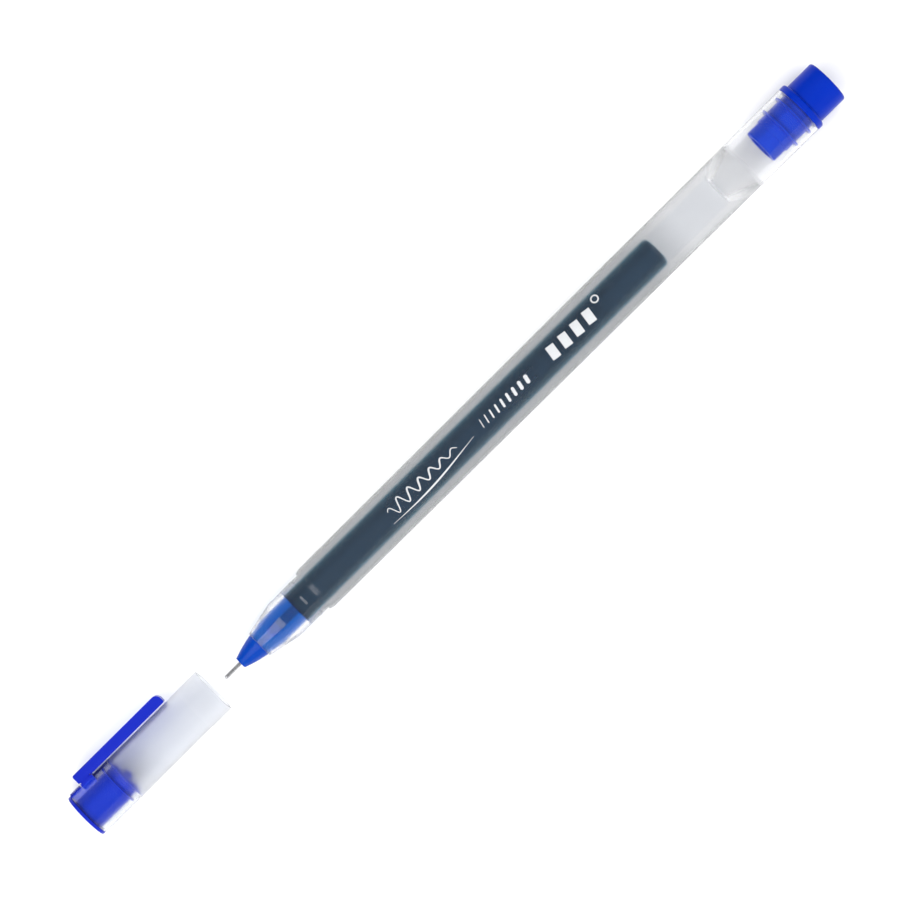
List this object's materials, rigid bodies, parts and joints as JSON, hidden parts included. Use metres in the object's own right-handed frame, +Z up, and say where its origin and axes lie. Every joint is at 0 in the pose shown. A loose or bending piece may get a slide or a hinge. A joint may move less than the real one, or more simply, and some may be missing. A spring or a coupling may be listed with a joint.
{
  "type": "gel pen",
  "caption": "Capped gel pen: milky clear barrel full of blue ink, blue nose with a steel needle point, blue tail plug, and a frosted pull-off cap with a blue pocket clip.",
  "frame": {"origin": "on the pen's axis, at the shoulder where the tail post leaves its flange", "axes": "+X along the pen from the writing point to the tail, +Y towards the cap's clip, +Z up from the surface that the pen lies on"},
  "size_m": [0.1727, 0.0109, 0.0092],
  "materials": {
    "natural_plastic": "milky clear polypropylene, satin body, polished cone and seat",
    "nose_blue": "translucent blue, polished",
    "needle_steel": "drawn stainless tube",
    "ball_metal": "polished",
    "ink": "wet, dark blue",
    "clear_grease": "wet, clear",
    "tail_blue": "semi-gloss",
    "frosted_plastic": "frosted clear polypropylene",
    "cap_blue": "semi-gloss"
  },
  "bodies": {
    "pen": {"barrel": "natural_plastic", "nib_holder": "nose_blue", "needle_tube": "needle_steel", "nib_ink": "ink", "ink_column": "ink", "tail_plug": "tail_blue"},
    "ball": {"tip_ball": "ball_metal"},
    "follower": {"ink_follower": "clear_grease"},
    "cap": {"cap_sleeve": "frosted_plastic", "cap_plug": "cap_blue"},
    "clip": {"cap_clip": "cap_blue"}
  },
  "joints": [
    {"name": "cap_slide", "type": "slide", "parent": "pen", "child": "cap", "axis": [1, 0, 0], "range_m": [0, 0.0231]},
    {"name": "clip_flex", "type": "hinge", "parent": "cap", "child": "clip", "pos_m": [-0.1624, 0.00475, 0], "axis": [0, 0, 1], "range_deg": [0, 8], "stiffness_Nm_per_rad": 0.5},
    {"name": "ball_roll", "type": "hinge", "parent": "pen", "child": "ball", "pos_m": [-0.13422, 0, 0], "axis": [0, 0, 1], "continuous": true},
    {"name": "follower_slide", "type": "slide", "parent": "pen", "child": "follower", "axis": [-1, 0, 0], "range_m": [0, 0.082], "deforming": ["ink_column"]}
  ]
}
